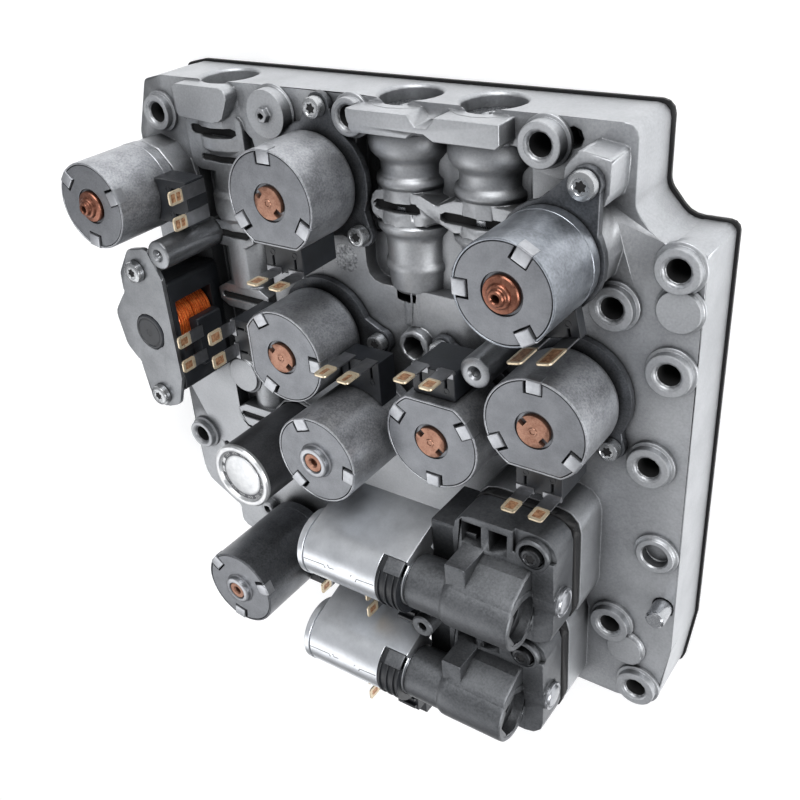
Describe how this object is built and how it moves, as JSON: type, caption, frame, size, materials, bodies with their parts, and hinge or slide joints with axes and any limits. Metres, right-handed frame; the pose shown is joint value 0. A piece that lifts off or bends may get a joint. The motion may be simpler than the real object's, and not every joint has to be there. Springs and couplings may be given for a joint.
{
  "type": "transmission valve body",
  "caption": "Cast hydraulic valve body with spool bores, clamped control solenoids, a sensor coil and two side housings with tube mouths.",
  "frame": {"origin": "on the gasket face, 89.8 mm below the top face, which the spool bores open through, and 0.2 mm beside the left bore's axis", "axes": "+Z out of the solenoid side, +X along the width, +Y along the height, towards the face that the spool bores open through"},
  "size_m": [0.2259, 0.2239, 0.0768],
  "materials": {
    "cast_aluminium": "as cast, fine grain, machined faces brighter",
    "gasket_rubber": "matt black",
    "zinc_can": "satin zinc plated",
    "dark_can": "satin dark zinc plated",
    "tinned_can": "bright tinned, streaked",
    "stamped_plate": "satin stamped steel",
    "black_plastic": "matt glass-filled plastic",
    "clamp_steel": "dark phosphated steel",
    "screw_steel": "bright zinc plated",
    "ground_steel": "ground",
    "dark_cast": "dark die casting, fine grain",
    "copper_wire": "enamelled copper wire",
    "sensor_steel": "satin sheet steel"
  },
  "bodies": {
    "valve_body": {"clamp_a": "clamp_steel", "clamp_b": "clamp_steel", "clamp_d": "clamp_steel", "clamp_e": "clamp_steel", "clamp_k": "clamp_steel", "dowel_pin": "ground_steel", "housing_seal_1": "gasket_rubber", "housing_seal_2": "gasket_rubber", "pressure_cell": "dark_can", "screw_clamp_a1": "screw_steel", "screw_clamp_a2": "screw_steel", "screw_clamp_b1": "screw_steel", "screw_clamp_d1": "screw_steel", "screw_clamp_e": "screw_steel", "screw_clamp_k1": "screw_steel", "screw_housing_1": "screw_steel", "screw_housing_2": "screw_steel", "screw_sensor_1": "screw_steel", "screw_sensor_2": "screw_steel", "sensor_body": "black_plastic", "sensor_plate": "sensor_steel", "sensor_winding": "copper_wire", "separator_gasket": "gasket_rubber", "side_housing_1": "dark_cast", "side_housing_2": "dark_cast", "side_solenoid_1_can": "tinned_can", "side_solenoid_1_connector": "black_plastic", "side_solenoid_1_end_plate": "tinned_can", "side_solenoid_2_can": "tinned_can", "side_solenoid_2_connector": "black_plastic", "side_solenoid_2_end_plate": "tinned_can", "solenoid_a_can": "zinc_can", "solenoid_a_connector": "black_plastic", "solenoid_a_end_plate": "stamped_plate", "solenoid_b_can": "zinc_can", "solenoid_b_connector": "black_plastic", "solenoid_b_end_plate": "stamped_plate", "solenoid_c_can": "dark_can", "solenoid_c_connector": "black_plastic", "solenoid_c_end_plate": "stamped_plate", "solenoid_d_can": "zinc_can", "solenoid_d_connector": "black_plastic", "solenoid_d_end_plate": "stamped_plate", "solenoid_e_can": "zinc_can", "solenoid_e_connector": "black_plastic", "solenoid_e_end_plate": "stamped_plate", "solenoid_f_can": "dark_can", "solenoid_f_connector": "black_plastic", "solenoid_f_end_plate": "stamped_plate", "solenoid_g_can": "zinc_can", "solenoid_g_connector": "black_plastic", "solenoid_g_end_plate": "stamped_plate", "solenoid_k_can": "zinc_can", "solenoid_k_connector": "black_plastic", "solenoid_k_end_plate": "stamped_plate", "stud_left": "ground_steel", "stud_right": "ground_steel", "valve_casting": "cast_aluminium"},
    "spool_left": {"spool_left": "ground_steel"},
    "spool_right": {"spool_right": "ground_steel"}
  },
  "joints": [
    {"name": "spool_left_slide", "type": "slide", "parent": "valve_body", "child": "spool_left", "axis": [0, 1, 0], "range_m": [-0.006, 0], "stiffness_N_per_m": 500, "springref_m": 0.004},
    {"name": "spool_right_slide", "type": "slide", "parent": "valve_body", "child": "spool_right", "axis": [0, 1, 0], "range_m": [-0.006, 0], "stiffness_N_per_m": 500, "springref_m": 0.004}
  ]
}
